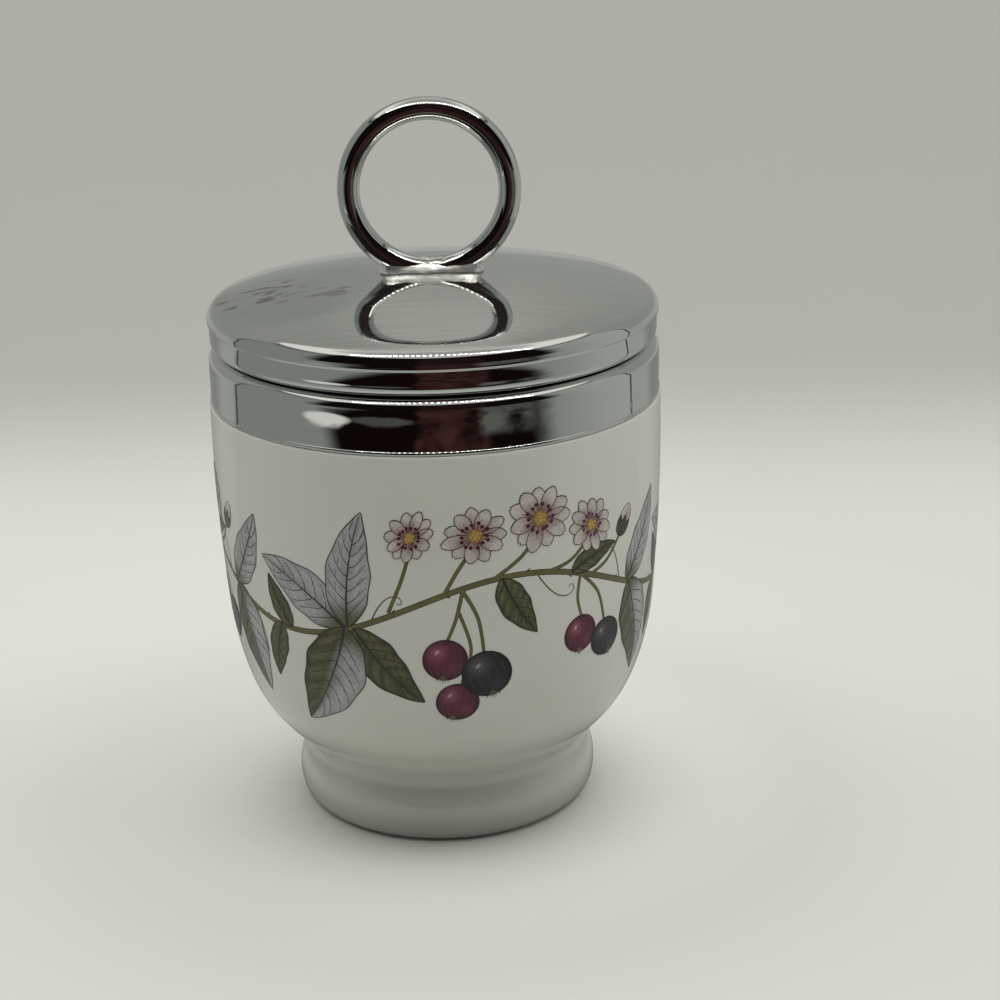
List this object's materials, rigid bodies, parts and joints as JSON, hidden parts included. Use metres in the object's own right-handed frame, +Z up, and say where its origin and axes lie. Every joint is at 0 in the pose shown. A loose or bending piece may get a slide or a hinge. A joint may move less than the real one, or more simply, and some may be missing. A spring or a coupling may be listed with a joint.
{
  "type": "porcelain egg coddler",
  "caption": "Lidded porcelain cup for coddling eggs in hot water: bulbous cup on a round foot, cemented metal collar, and a domed metal screw lid with a ring to lift it by.",
  "frame": {"origin": "middle of the foot, on the surface that the cup stands on", "axes": "+Z up along the cup's axis; the lifting ring lies in the XZ plane and is seen flat on along +Y"},
  "size_m": [0.0634, 0.0634, 0.1019],
  "materials": {
    "porcelain": "glossy white glaze with a printed garland round the side",
    "chrome_plate": "mirror chrome plate, faintly brushed on top of the lid",
    "cement": "matt, off-white bonding cement",
    "thread_metal": "thinly plated brass, worn on the thread"
  },
  "bodies": {
    "cup": {"porcelain_cup": "porcelain", "rim_collar": "chrome_plate", "collar_cement": "cement"},
    "thread_ring": {"lid_thread_ring": "thread_metal"},
    "lid": {"lid_shell": "chrome_plate", "ring_saddle": "chrome_plate", "lifting_ring": "chrome_plate"}
  },
  "joints": [
    {"name": "lid_lift", "type": "slide", "parent": "cup", "child": "thread_ring", "axis": [0, 0, 1], "range_m": [0, 0.06]},
    {"name": "lid_turn", "type": "hinge", "parent": "thread_ring", "child": "lid", "pos_m": [0, 0, 0.0716], "axis": [0, 0, 1], "range_deg": [0, 450]}
  ]
}
